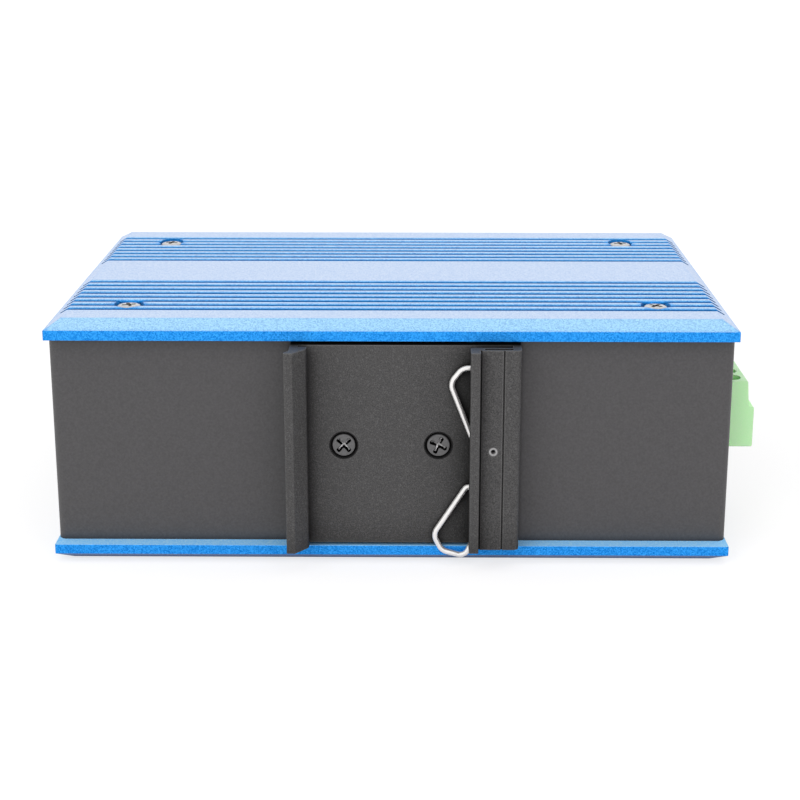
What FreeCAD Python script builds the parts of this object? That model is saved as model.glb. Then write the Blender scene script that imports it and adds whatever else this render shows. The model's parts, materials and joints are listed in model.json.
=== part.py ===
import FreeCAD, Part
import math
import os

import Sketcher

# DIN rail Ethernet switch: two finned aluminium covers round a folded sheet chassis, with the
# rail clip on its back (-Y), the ports on its front (+Y) and the power terminal on its +X end.
# Lengths are millimetres. Pieces are drawn in case coordinates: X = 0 on the case's middle,
# Y = 0 on the covers' rear edge, Z = 0 under the lower cover. Placements then move the origin
# to the middle of the whole part's footprint.

TOLERANCE = 1e-6

doc = FreeCAD.newDocument("RailSwitch")
sheet = doc.addObject("Spreadsheet::Sheet", "Sizes")

SIZES = [
    # case and covers
    ("case_length", 145.0),
    ("case_depth", 95.0),
    ("cover_thickness", 4.1),
    ("bay_height", 45.6),
    ("bevel_drop", 2.0),
    ("bevel_run", 3.3),
    ("groove_count", 8),
    ("groove_pitch", 3.55),
    ("groove_width", 1.3),
    ("groove_depth", 1.25),
    ("groove_inset", 11.2),
    ("crest_round", 0.8),
    ("cover_screw_inset_x", 15.5),
    ("cover_screw_inset_y", 15.4),
    ("counterbore_radius", 3.2),
    ("counterbore_depth", 1.9),
    ("head_recess", 0.2),
    # fasteners
    ("screw_radius", 1.5),
    ("screw_clearance", 0.2),
    ("cover_head_radius", 2.75),
    ("cover_head_height", 1.7),
    ("cover_screw_length", 6.0),
    ("cross_span", 3.0),
    ("cross_width", 0.8),
    ("cross_depth", 1.1),
    ("tip_chamfer", 0.4),
    ("nut_radius", 2.8),
    ("nut_height", 1.5),
    ("nut_neck_radius", 2.1),
    ("fit_gap", 0.04),
    # chassis
    ("sheet_thickness", 1.2),
    ("bend_radius", 1.8),
    ("back_recess", 3.2),
    ("end_inset", 0.2),
    ("flange_width", 18.5),
    ("bend_relief", 1.5),
    # front panel
    ("panel_thickness", 1.5),
    ("panel_gap", 0.15),
    ("panel_tab_length", 10.0),
    ("panel_screw_height", 12.0),
    ("panel_screw_radius", 1.25),
    ("panel_head_radius", 2.25),
    ("panel_head_height", 1.0),
    ("panel_screw_length", 4.5),
    # rail clip
    ("clip_end_gap", 0.8),
    ("clip_plate", 3.2),
    ("clip_left", 21.0),
    ("clip_right", 27.1),
    ("clip_screw_half", 10.0),
    ("clip_head_radius", 2.9),
    ("clip_screw_length", 7.0),
    ("hook_height", 6.6),
    ("hook_flare", 1.2),
    ("hook_flare_height", 2.2),
    ("hook_front", 2.0),
    ("hook_ramp", 3.4),
    ("hook_nose", 17.5),
    ("hook_undercut", 1.8),
    ("rail_slot", 1.4),
    ("lip_left", 16.5),
    ("lip_width", 2.0),
    ("lip_height", 6.2),
    ("channel_height", 4.1),
    ("channel_wall", 0.6),
    ("channel_side", 1.8),
    ("cavity_height", 1.9),
    ("line_groove_width", 0.35),
    ("line_groove_depth", 0.3),
    ("clip_edge_round", 0.3),
    ("clip_side_round", 1.2),
    # wire spring
    ("wire_radius", 0.6),
    ("wire_lift", 0.15),
    ("wire_tilt", 5.7),
    ("pin_radius", 0.9),
    ("pin_bore", 0.5),
    ("pin_offset", 21.4),
    ("pin_bite", 2.0),
    ("pin_in_loop", 4.07),
    ("loop_leg_half", 5.5),
    ("loop_depth", 6.3),
    ("loop_bend", 3.0),
    ("arm_start", 0.45),
    ("arm_start_bend", 1.0),
    ("arm_reach", 6.33),
    ("arm_reach_height", 17.0),
    ("arm_shoulder", 4.1),
    ("arm_shoulder_height", 20.45),
    ("arm_curl", 2.6),
    ("arm_return", 0.9),
    ("arm_top", 21.25),
    ("arm_return_bend", 1.8),
    ("arm_end", 4.0),
    ("arm_end_height", 13.0),
    # board
    ("board_height", 15.7),
    ("board_thickness", 1.6),
    ("board_end_gap", 2.3),
    ("board_rear_gap", 0.8),
    ("board_front_gap", 0.5),
    ("standoff_radius", 2.9),
    ("standoff_inset_x", 22.5),
    ("standoff_rear_y", 12.0),
    ("standoff_front_inset", 35.0),
    ("standoff_stud", 2.5),
    ("board_head_radius", 2.75),
    ("board_head_height", 2.0),
    ("board_screw_length", 6.0),
    # stacked network jacks
    ("jack_count", 4),
    ("jack_pitch", 17.4),
    ("jack_width", 16.6),
    ("jack_depth", 21.5),
    ("jack_head_gap", 2.9),
    ("jack_proud", 0.4),
    ("port_width", 11.9),
    ("port_rib", 1.0),
    ("port_low", 4.0),
    ("port_depth", 14.0),
    ("latch_width", 6.0),
    ("latch_drop", 1.6),
    ("tongue_width", 3.4),
    ("tongue_drop", 1.1),
    ("contact_count", 8),
    ("contact_pitch", 1.02),
    ("contact_width", 0.45),
    ("contact_thickness", 0.36),
    ("contact_setback", 1.0),
    ("contact_length", 7.0),
    ("contact_sag", 1.6),
    # fibre module cages
    ("cage_count", 2),
    ("cage_pitch", 16.25),
    ("cage_width", 14.2),
    ("cage_height", 9.7),
    ("cage_depth", 48.0),
    ("cage_wall", 0.4),
    ("socket_width", 12.0),
    ("socket_height", 5.4),
    ("socket_depth", 8.0),
    ("card_slot_width", 10.1),
    ("card_slot_height", 1.35),
    ("card_slot_low", 2.15),
    ("card_slot_depth", 5.6),
    ("cutout_gap", 0.3),
    # status lights
    ("light_rows", 5),
    ("light_top_gap", 2.5),
    ("light_first_height", 4.5),
    ("light_width", 2.2),
    ("light_spacing_x", 7.0),
    ("light_setback", 2.5),
    ("light_stagger", 3.4),
    ("diode_height", 1.0),
    # power terminal
    ("poles", 6),
    ("pole_pitch", 5.08),
    ("plug_near", 15.4),
    ("plug_side", 0.3),
    ("plug_lift", 0.15),
    ("plug_height", 15.1),
    ("plug_step_height", 9.2),
    ("plug_step", 1.2),
    ("plug_lean", 0.4),
    ("plug_round", 0.4),
    ("plug_reach", 7.0),
    ("plug_body", 11.9),
    ("nose_length", 6.3),
    ("nose_low", 1.6),
    ("nose_height", 6.3),
    ("wire_entry", 3.8),
    ("wire_entry_depth", 7.5),
    ("driver_well_radius", 2.1),
    ("driver_well_depth", 3.4),
    ("driver_well_wall", 1.2),
    ("header_depth", 12.0),
    ("header_wall", 1.3),
    ("header_back", 3.0),
    ("header_height", 9.6),
    ("pin_width", 1.0),
    ("pin_tail", 2.5),
    ("pin_reach", 5.0),
    ("pin_bend", 0.5),
    ("clamp_width", 3.9),
    ("clamp_wall", 0.5),
    ("terminal_screw_radius", 1.9),
    ("terminal_screw_height", 1.6),
    ("slit_width", 0.6),
    # parts on the board
    ("chip_x", -8.0),
    ("chip_y", 38.0),
    ("chip_side", 23.0),
    ("chip_height", 2.2),
    ("pad_height", 1.0),
    ("block_side", 27.0),
    ("inductor_side", 12.5),
    ("inductor_height", 7.0),
    ("capacitor_radius", 5.0),
    ("capacitor_height", 12.5),
    ("capacitor_spacing", 12.0),
    ("capacitor_x", -38.0),
    ("capacitor_y", 20.0),
    ("relay_length", 15.0),
    ("relay_width", 7.4),
    ("relay_height", 10.0),
    ("transformer_side", 14.0),
    ("transformer_height", 10.5),
    ("part_margin", 3.0),
    ("part_gap", 2.0),
    ("header_part_gap", 10.0),
    # ground screw on the end wall
    ("ground_inset", 27.0),
    ("ground_head_radius", 3.0),
    ("ground_head_height", 2.0),
    ("ground_washer_radius", 4.0),
    ("ground_washer", 0.8),
    ("ground_screw_length", 6.0),
]


class Size:
    """A number from the sheet, or one worked out from such numbers, with its expression."""

    def __init__(self, value, text):
        self.value = value
        self.text = text

    def __add__(self, other):
        other = as_size(other)
        return Size(self.value + other.value, f"({self.text} + {other.text})")

    def __sub__(self, other):
        other = as_size(other)
        return Size(self.value - other.value, f"({self.text} - {other.text})")

    def __mul__(self, other):
        other = as_size(other)
        return Size(self.value * other.value, f"({self.text} * {other.text})")

    def __truediv__(self, other):
        other = as_size(other)
        return Size(self.value / other.value, f"({self.text} / {other.text})")

    def __radd__(self, other):
        return as_size(other) + self

    def __rsub__(self, other):
        return as_size(other) - self

    def __rmul__(self, other):
        return as_size(other) * self

    def __neg__(self):
        return Size(-self.value, f"(-1 * {self.text})")


def as_size(number):
    """Wraps a plain number, so that it can stand in an expression."""
    return number if isinstance(number, Size) else Size(float(number), f"({float(number)})")


class Sizes:
    """The sheet's sizes, each read by its alias."""


s = Sizes()
for row, (alias, number) in enumerate(SIZES, start=1):
    cell = f"B{row}"
    sheet.set(f"A{row}", alias)
    sheet.set(cell, str(number))
    sheet.setAlias(cell, alias)
    setattr(s, alias, Size(float(number), f"Sizes.{alias}"))
doc.recompute()

# Heights and planes that several pieces share
bay_low = s.cover_thickness
bay_top = s.cover_thickness + s.bay_height
case_height = s.cover_thickness * 2 + s.bay_height
middle_z = case_height / 2
middle_y = s.case_depth / 2
end_x = s.case_length / 2 - s.end_inset
wall_in_x = end_x - s.sheet_thickness
rear_y = s.back_recess
rear_in_y = rear_y + s.sheet_thickness
front_y = s.case_depth - s.back_recess
panel_in_y = front_y - s.panel_thickness
clip_face_y = rear_y - s.clip_plate
clip_length = s.bay_height - s.clip_end_gap * 2
board_low = bay_low + s.board_height
board_top = board_low + s.board_thickness
board_half = wall_in_x - s.board_end_gap
board_rear = rear_in_y + s.board_rear_gap
board_front = panel_in_y - s.board_front_gap
plug_face_x = s.case_length / 2 + s.plug_reach
header_face_x = plug_face_x - s.plug_body
header_back_x = header_face_x - s.header_depth
plug_low = board_top + s.plug_lift
plug_top = plug_low + s.plug_height
plug_width = s.poles * s.pole_pitch + s.plug_side * 2
plug_middle_y = s.plug_near + plug_width / 2
hook_front_y = clip_face_y - s.hook_height
standoff_x = s.case_length / 2 - s.standoff_inset_x
standoff_front_y = s.case_depth - s.standoff_front_inset
ground_y = s.case_depth - s.ground_inset

# The jacks reach nearly to the upper cover, and the sockets and lights share out their height
jack_height = s.bay_height - s.board_height - s.board_thickness - s.jack_head_gap
port_height = (jack_height - s.port_rib) / 2 - s.port_low
light_pitch = (jack_height - s.light_first_height - s.light_top_gap) / (s.light_rows - 1)

# The row of ports: jacks, cages and lights stand with equal gaps between the panel's two tabs
tab_in_x = wall_in_x - s.panel_gap - s.panel_thickness
jack_block = s.jack_pitch * (s.jack_count - 1) + s.jack_width
cage_block = s.cage_pitch * (s.cage_count - 1) + s.cage_width
light_block = s.light_spacing_x + s.light_width
row_gap = (tab_in_x * 2 - jack_block - cage_block - light_block) / 4
jack_low_x = row_gap - tab_in_x
cage_low_x = jack_low_x + jack_block + row_gap
light_low_x = cage_low_x + cage_block + row_gap
first_jack_x = jack_low_x + s.jack_width / 2
first_cage_x = cage_low_x + s.cage_width / 2
first_light_x = light_low_x + s.light_width / 2

# The origin: the middle of the footprint, from the -X end's screw heads to the plug, and from
# the hook to the covers' front edge
origin_x = (plug_face_x - end_x - s.panel_head_height) / 2
origin_y = (s.case_depth + hook_front_y) / 2


def bind(target, path, size):
    """Sets a property from a size, as an expression where it comes from the sheet."""
    size = as_size(size)
    target.setExpression(path, size.text)


def place(target, x, y, z, rotation=None):
    """Puts a piece at a point of the case, moved to the part's own origin."""
    if rotation is not None:
        target.Placement = FreeCAD.Placement(FreeCAD.Vector(0, 0, 0), rotation)
    bind(target, "Placement.Base.x", x - origin_x)
    bind(target, "Placement.Base.y", y - origin_y)
    bind(target, "Placement.Base.z", as_size(z))


def turn(axis, degrees):
    """A rotation about one of the part's axes."""
    axes = {"x": (1, 0, 0), "y": (0, 1, 0), "z": (0, 0, 1)}
    return FreeCAD.Rotation(FreeCAD.Vector(*axes[axis]), degrees)


nodes = []


def new_body(label, x=0, y=0, z=0, rotation=None, several=False):
    """A PartDesign body for one sub-part, with its place in the case."""
    body = doc.addObject("PartDesign::Body", label)
    body.Label = label
    body.AllowCompound = several
    place(body, as_size(x), as_size(y), as_size(z), rotation)
    nodes.append(body)
    return body


def origin_feature(body, role):
    """One of the body's own origin planes or axes."""
    return next(item for item in body.Origin.OriginFeatures if item.Role == role)


def new_sketch(body, role, offset=0):
    """A sketch on an origin plane, moved along that plane's normal."""
    sketch = body.newObject("Sketcher::SketchObject", body.Name + "Sketch")
    sketch.AttachmentSupport = (origin_feature(body, role), [""])
    sketch.MapMode = "FlatFace"
    bind(sketch, "AttachmentOffset.Base.z", offset)
    return sketch


def tied(kind, *place_and_size):
    """A constraint on a size, with the expression that it follows."""
    size = as_size(place_and_size[-1])
    return Sketcher.Constraint(kind, *place_and_size[:-1], size.value), size.text


def tied_point(geometry, vertex, x, y):
    """The two distances that tie a point of a sketch to the sketch's origin."""
    return [
        tied("DistanceX", -1, 1, geometry, vertex, x),
        tied("DistanceY", -1, 1, geometry, vertex, y),
    ]


def constrain(sketch, pairs):
    """Adds constraints in one go, then the expressions of those that have one."""
    first = sketch.ConstraintCount
    sketch.addConstraint([constraint for constraint, _ in pairs])
    for index, (_, text) in enumerate(pairs):
        if text:
            sketch.setExpression(f"Constraints[{first + index}]", text)


def rounding(before, corner, after, radius):
    """The arc that rounds a corner: its two tangent points, its centre and its sense."""
    to_before = (before - corner).normalize()
    to_after = (after - corner).normalize()
    half = to_before.getAngle(to_after) / 2
    enter = corner + to_before * (radius / math.tan(half))
    leave = corner + to_after * (radius / math.tan(half))
    centre = corner + (to_before + to_after).normalize() * (radius / math.sin(half))
    anticlockwise = to_before.cross(to_after).z < 0
    return enter, leave, centre, anticlockwise


def draw(sketch, corners, closed=True):
    """Draws a loop or an open line through corners (x, y) or (x, y, radius), fully constrained."""
    points = [FreeCAD.Vector(as_size(c[0]).value, as_size(c[1]).value, 0) for c in corners]
    count = len(corners)
    rounds = {}
    for index, corner in enumerate(corners):
        if len(corner) == 3:
            radius = as_size(corner[2]).value
            before = points[index - 1]
            after = points[(index + 1) % count]
            rounds[index] = rounding(before, points[index], after, radius)
    spans = count if closed else count - 1
    lines = []
    for index in range(spans):
        ahead = (index + 1) % count
        start = rounds[index][1] if index in rounds else points[index]
        finish = rounds[ahead][0] if ahead in rounds else points[ahead]
        lines.append(sketch.addGeometry(Part.LineSegment(start, finish)))
    pairs = []
    for index, corner in enumerate(corners):
        arriving = lines[index - 1] if closed or index > 0 else None
        leaving = lines[index] if index < spans else None
        if index in rounds:
            enter, leave, centre, anticlockwise = rounds[index]
            first, last = (enter, leave) if anticlockwise else (leave, enter)
            first_angle = math.atan2(first.y - centre.y, first.x - centre.x)
            last_angle = math.atan2(last.y - centre.y, last.x - centre.x)
            circle = Part.Circle(centre, FreeCAD.Vector(0, 0, 1), (enter - centre).Length)
            arc = sketch.addGeometry(Part.ArcOfCircle(circle, first_angle, last_angle))
            apex = sketch.addGeometry(Part.Point(points[index]), True)
            at_enter, at_leave = (1, 2) if anticlockwise else (2, 1)
            pairs += tied_point(apex, 1, corner[0], corner[1])
            for line in (arriving, leaving):
                pairs.append((Sketcher.Constraint("PointOnObject", apex, 1, line), ""))
            pairs.append((Sketcher.Constraint("Tangent", arriving, 2, arc, at_enter), ""))
            pairs.append((Sketcher.Constraint("Tangent", arc, at_leave, leaving, 1), ""))
            pairs.append(tied("Radius", arc, corner[2]))
        elif leaving is None:
            pairs += tied_point(arriving, 2, corner[0], corner[1])
        else:
            if arriving is not None:
                pairs.append((Sketcher.Constraint("Coincident", arriving, 2, leaving, 1), ""))
            pairs += tied_point(leaving, 1, corner[0], corner[1])
    constrain(sketch, pairs)


def draw_box(sketch, low_x, low_y, high_x, high_y):
    """A rectangle from its lowest to its highest corner."""
    draw(sketch, [(low_x, low_y), (high_x, low_y), (high_x, high_y), (low_x, high_y)])


def draw_circle(sketch, x, y, radius):
    """A circle with its centre tied to the sketch's origin."""
    centre = FreeCAD.Vector(as_size(x).value, as_size(y).value, 0)
    shape = Part.Circle(centre, FreeCAD.Vector(0, 0, 1), as_size(radius).value)
    circle = sketch.addGeometry(shape)
    constrain(sketch, tied_point(circle, 3, x, y) + [tied("Radius", circle, radius)])


def pad(body, sketch, length, symmetric=False):
    """Adds material along the sketch's normal, or half to each side of it."""
    feature = body.newObject("PartDesign::Pad", body.Name + "Pad")
    feature.Profile = sketch
    feature.SideType = "Symmetric" if symmetric else "One side"
    bind(feature, "Length", length)
    return feature


def pocket(body, sketch, depth=None):
    """Cuts against the sketch's normal, or right through both ways where no depth is given."""
    feature = body.newObject("PartDesign::Pocket", body.Name + "Pocket")
    feature.Profile = sketch
    if depth is None:
        feature.SideType = "Symmetric"
        feature.Type = "ThroughAll"
    else:
        bind(feature, "Length", depth)
    return feature


def fillet(body, radius, chosen):
    """Rounds those edges of the body's last feature that a test picks."""
    doc.recompute()
    base = body.Tip
    names = []
    for index, edge in enumerate(base.Shape.Edges, start=1):
        if chosen(edge):
            names.append(f"Edge{index}")
    feature = body.newObject("PartDesign::Fillet", body.Name + "Fillet")
    feature.Base = (base, names)
    bind(feature, "Radius", radius)
    return feature


def revolve(body, sketch):
    """Turns a half section about the sketch's vertical axis."""
    feature = body.newObject("PartDesign::Revolution", body.Name + "Turned")
    feature.Profile = sketch
    feature.ReferenceAxis = (sketch, ["V_Axis"])
    feature.Angle = 360
    return feature


def repeat(body, originals, role, count, spacing, second=None):
    """Repeats features in a row, or in a grid where a second (role, count, spacing) is given."""
    feature = body.newObject("PartDesign::LinearPattern", body.Name + "Row")
    feature.Originals = originals
    feature.Direction = (origin_feature(body, role), [""])
    bind(feature, "Occurrences", count)
    bind(feature, "Length", spacing * (as_size(count) - 1))
    if second is not None:
        second_role, second_count, second_spacing = second
        feature.Direction2 = (origin_feature(body, second_role), [""])
        bind(feature, "Occurrences2", second_count)
        bind(feature, "Length2", second_spacing * (as_size(second_count) - 1))
    body.Tip = feature
    return feature


# ---------------------------------------------------------------- covers


def finned_cover(label, z, rotation, standoff_holes):
    """An extrusion with bevelled long edges and two bands of round-crested fins, and milled ends."""
    cover = new_body(label, 0, middle_y, z, rotation)
    half = s.case_depth / 2
    rim = s.cover_thickness - s.bevel_drop
    section = new_sketch(cover, "YZ_Plane")
    floor = s.cover_thickness - s.groove_depth
    corners = [(-half, 0), (half, 0), (half, rim), (half - s.bevel_run, s.cover_thickness)]
    right_to_left = []
    for index in range(int(s.groove_count.value)):
        inset = s.groove_inset + index * s.groove_pitch
        right_to_left.append(half - inset)
    for centre in right_to_left + [-edge for edge in reversed(right_to_left)]:
        right = centre + s.groove_width / 2
        left = centre - s.groove_width / 2
        corners.append((right, s.cover_thickness))
        corners.append((right, floor))
        corners.append((left, floor))
        corners.append((left, s.cover_thickness))
    corners += [(s.bevel_run - half, s.cover_thickness), (-half, rim)]
    draw(section, corners)
    pad(cover, section, s.case_length, symmetric=True)
    flat_end = (half - s.bevel_run).value

    def is_crest(edge):
        box = edge.BoundBox
        on_top = box.ZMin > s.cover_thickness.value - TOLERANCE
        return on_top and box.YLength < TOLERANCE and abs(box.YMin) < flat_end - TOLERANCE

    fillet(cover, s.crest_round, is_crest)

    for side in (-1, 1):
        corner_x = side * s.case_length / 2
        bevel = new_sketch(cover, "XZ_Plane")
        inner_x = corner_x - side * s.bevel_run
        draw(bevel, [
            (corner_x, rim),
            (corner_x, s.cover_thickness),
            (inner_x, s.cover_thickness),
        ])
        pocket(cover, bevel)

    screw_x = s.case_length / 2 - s.cover_screw_inset_x
    screw_y = half - s.cover_screw_inset_y
    spots = [(i * screw_x, j * screw_y) for i in (-1, 1) for j in (-1, 1)]
    heads = new_sketch(cover, "XY_Plane", s.cover_thickness)
    holes = new_sketch(cover, "XY_Plane")
    for x, y in spots:
        draw_circle(heads, x, y, s.counterbore_radius)
        draw_circle(holes, x, y, s.screw_radius + s.screw_clearance)
    pocket(cover, heads, s.counterbore_depth)
    pocket(cover, holes)

    if standoff_holes:
        taps = new_sketch(cover, "XY_Plane")
        for x in (-standoff_x, standoff_x):
            for y in (s.standoff_rear_y, standoff_front_y):
                draw_circle(taps, x, middle_y - y, s.screw_radius + s.fit_gap)
        cut = pocket(cover, taps, s.standoff_stud + s.fit_gap)
        cut.Reversed = True
    return cover


finned_cover("finned_cover_upper", bay_top, None, standoff_holes=False)
finned_cover("finned_cover_lower", bay_low, turn("x", 180), standoff_holes=True)


# ---------------------------------------------------------------- screws and nuts


def cross_recess(body):
    """A cross driver recess in a head whose top lies on the local XY plane."""
    sketch = new_sketch(body, "XY_Plane")
    far = s.cross_span / 2
    near = s.cross_width / 2
    quarter = [(far, -near), (far, near), (near, near)]
    corners = []
    for turns in range(4):
        for x, y in quarter:
            for _ in range(turns):
                x, y = -y, x
            corners.append((x, y))
    draw(sketch, corners)
    return pocket(body, sketch, s.cross_depth)


def screw_group(label, point, rotation, head, length, grid, shank=None):
    """Screws with their head tops at the local XY plane; grid is (nx, dx, ny, dy)."""
    body = new_body(label, *point, rotation, several=True)
    kind, head_radius, head_height = head
    shank = s.screw_radius if shank is None else shank
    half = new_sketch(body, "XZ_Plane")
    if kind == "countersunk":
        corners = [(0, 0), (head_radius, 0), (shank, shank - head_radius)]
    else:
        crown = s.head_recess
        corners = [
            (0, 0),
            (head_radius - crown, 0),
            (head_radius, -crown),
            (head_radius, -head_height),
            (shank, -head_height),
        ]
    corners += [
        (shank, s.tip_chamfer - length),
        (shank - s.tip_chamfer, -length),
        (0, -length),
    ]
    draw(half, list(reversed(corners)))
    features = [revolve(body, half), cross_recess(body)]
    across, step_x, along, step_y = grid
    if across * along > 1:
        if across == 1:
            repeat(body, features, "Y_Axis", along, step_y)
        elif along == 1:
            repeat(body, features, "X_Axis", across, step_x)
        else:
            repeat(body, features, "X_Axis", across, step_x, ("Y_Axis", along, step_y))
    return body


def nut_group(label, point, rotation, grid):
    """Press nuts seated on the local XY plane, their necks in the sheet below it."""
    body = new_body(label, *point, rotation, several=True)
    half = new_sketch(body, "XZ_Plane")
    bore = s.screw_radius + s.fit_gap
    corners = [
        (bore, -s.sheet_thickness),
        (s.nut_neck_radius, -s.sheet_thickness),
        (s.nut_neck_radius, 0),
        (s.nut_radius, 0),
        (s.nut_radius, s.nut_height),
        (bore, s.nut_height),
    ]
    draw(half, corners)
    turned = revolve(body, half)
    across, step_x, along, step_y = grid
    if across > 1 and along > 1:
        repeat(body, [turned], "X_Axis", across, step_x, ("Y_Axis", along, step_y))
    elif across > 1:
        repeat(body, [turned], "X_Axis", across, step_x)
    return body


screw_x = s.case_length / 2 - s.cover_screw_inset_x
far_screw_y = s.case_depth - s.cover_screw_inset_y
cover_grid = (2, screw_x * 2, 2, far_screw_y - s.cover_screw_inset_y)
cover_head = ("pan", s.cover_head_radius, s.cover_head_height)
upside_down = turn("x", 180)
head_z = s.cover_thickness - s.counterbore_depth + s.cover_head_height
screw_group(
    "cover_screws_upper", (-screw_x, s.cover_screw_inset_y, bay_top + head_z), None,
    cover_head, s.cover_screw_length, cover_grid,
)
screw_group(
    "cover_screws_lower", (-screw_x, far_screw_y, bay_low - head_z), upside_down,
    cover_head, s.cover_screw_length, cover_grid,
)
nut_group(
    "cover_nuts_upper", (-screw_x, far_screw_y, bay_top - s.sheet_thickness), upside_down,
    cover_grid,
)
nut_group(
    "cover_nuts_lower", (-screw_x, s.cover_screw_inset_y, bay_low + s.sheet_thickness), None,
    cover_grid,
)

# ---------------------------------------------------------------- chassis

chassis = new_body("rear_chassis")
inner_bend = s.bend_radius - s.sheet_thickness
leg_end = rear_y + s.bend_radius + s.bend_relief
back = new_sketch(chassis, "XY_Plane", bay_low)
draw(back, [
    (-end_x, leg_end),
    (-end_x, rear_y, s.bend_radius),
    (end_x, rear_y, s.bend_radius),
    (end_x, leg_end),
    (wall_in_x, leg_end),
    (wall_in_x, rear_in_y, inner_bend),
    (-wall_in_x, rear_in_y, inner_bend),
    (-wall_in_x, leg_end),
])
pad(chassis, back, s.bay_height)

flange_in = bay_low + s.sheet_thickness
flange_top_in = bay_top - s.sheet_thickness
flange_front = panel_in_y - s.panel_gap
for side in (-1, 1):
    outer = side * end_x
    inner = side * wall_in_x
    lip = side * (end_x - s.flange_width)
    channel = new_sketch(chassis, "XZ_Plane", -flange_front)
    draw(channel, [
        (lip, bay_low),
        (outer, bay_low, s.bend_radius),
        (outer, bay_top, s.bend_radius),
        (lip, bay_top),
        (lip, flange_top_in),
        (inner, flange_top_in, inner_bend),
        (inner, flange_in, inner_bend),
        (lip, flange_in),
    ])
    pad(chassis, channel, flange_front - leg_end)
    tail = new_sketch(chassis, "XZ_Plane", -front_y)
    low_x, high_x = (outer, inner) if side < 0 else (inner, outer)
    draw_box(tail, low_x, bay_low, high_x, bay_top)
    pad(chassis, tail, front_y - flange_front)

flange_holes = new_sketch(chassis, "XY_Plane")
for x in (-screw_x, screw_x):
    for y in (s.cover_screw_inset_y, far_screw_y):
        draw_circle(flange_holes, x, y, s.nut_neck_radius)
pocket(chassis, flange_holes)

clip_holes = new_sketch(chassis, "XZ_Plane", -rear_y)
for x in (-s.clip_screw_half, s.clip_screw_half):
    draw_circle(clip_holes, x, middle_z, s.nut_neck_radius)
pocket(chassis, clip_holes, s.sheet_thickness)

terminal_hole = new_sketch(chassis, "YZ_Plane", end_x)
draw_box(
    terminal_hole,
    s.plug_near - s.cutout_gap * 2, plug_low - s.cutout_gap * 2,
    s.plug_near + plug_width + s.cutout_gap * 2, plug_top + s.cutout_gap * 2,
)
pocket(chassis, terminal_hole, s.sheet_thickness)

ground_hole = new_sketch(chassis, "YZ_Plane", end_x)
draw_circle(ground_hole, ground_y, middle_z, s.nut_neck_radius)
pocket(chassis, ground_hole, s.sheet_thickness)

tab_screw_y = panel_in_y - s.panel_tab_length / 2
tab_screw_low = middle_z - s.panel_screw_height
tab_screw_high = middle_z + s.panel_screw_height
tab_holes = new_sketch(chassis, "YZ_Plane")
for z in (tab_screw_low, tab_screw_high):
    draw_circle(tab_holes, tab_screw_y, z, s.panel_screw_radius + s.screw_clearance)
pocket(chassis, tab_holes)

# ---------------------------------------------------------------- front panel

panel = new_body("front_panel")
panel_x = wall_in_x - s.panel_gap
tab_end = panel_in_y - s.panel_tab_length
panel_bend = s.panel_thickness + inner_bend
tab_low = flange_in + s.bend_relief
tabs = new_sketch(panel, "XY_Plane", tab_low)
draw(tabs, [
    (-panel_x, tab_end),
    (-tab_in_x, tab_end),
    (-tab_in_x, panel_in_y, inner_bend),
    (tab_in_x, panel_in_y, inner_bend),
    (tab_in_x, tab_end),
    (panel_x, tab_end),
    (panel_x, front_y, panel_bend),
    (-panel_x, front_y, panel_bend),
])
pad(panel, tabs, flange_top_in - flange_in - s.bend_relief * 2)
face = new_sketch(panel, "XZ_Plane", -front_y)
draw_box(
    face,
    panel_bend - panel_x, bay_low + s.panel_gap,
    panel_x - panel_bend, bay_top - s.panel_gap,
)
pad(panel, face, s.panel_thickness)

tab_taps = new_sketch(panel, "YZ_Plane")
for z in (tab_screw_low, tab_screw_high):
    draw_circle(tab_taps, tab_screw_y, z, s.panel_screw_radius + s.fit_gap)
pocket(panel, tab_taps)

cutouts = new_sketch(panel, "XZ_Plane", -panel_in_y)
draw_box(
    cutouts,
    jack_low_x - s.cutout_gap, board_top - s.cutout_gap,
    jack_low_x + jack_block + s.cutout_gap, board_top + jack_height + s.cutout_gap,
)
for index in range(int(s.cage_count.value)):
    x = first_cage_x + index * s.cage_pitch
    half = s.cage_width / 2 + s.cutout_gap
    draw_box(
        cutouts,
        x - half, board_top - s.cutout_gap,
        x + half, board_top + s.cage_height + s.cutout_gap,
    )
light_half = s.light_width / 2
for column in (0, 1):
    for row in range(int(s.light_rows.value)):
        x = first_light_x + column * s.light_spacing_x
        z = board_top + s.light_first_height + row * light_pitch
        hole = light_half + s.panel_gap
        draw_box(cutouts, x - hole, z - hole, x + hole, z + hole)
pocket(panel, cutouts, s.panel_thickness)

panel_ends = (("panel_screws_right", 1, tab_screw_high), ("panel_screws_left", -1, tab_screw_low))
for label, side, first_z in panel_ends:
    screw_group(
        label, (side * (end_x + s.panel_head_height), tab_screw_y, first_z), turn("y", side * 90),
        ("pan", s.panel_head_radius, s.panel_head_height), s.panel_screw_length,
        (2, s.panel_screw_height * 2, 1, 0), shank=s.panel_screw_radius,
    )

# ---------------------------------------------------------------- rail clip

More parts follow.
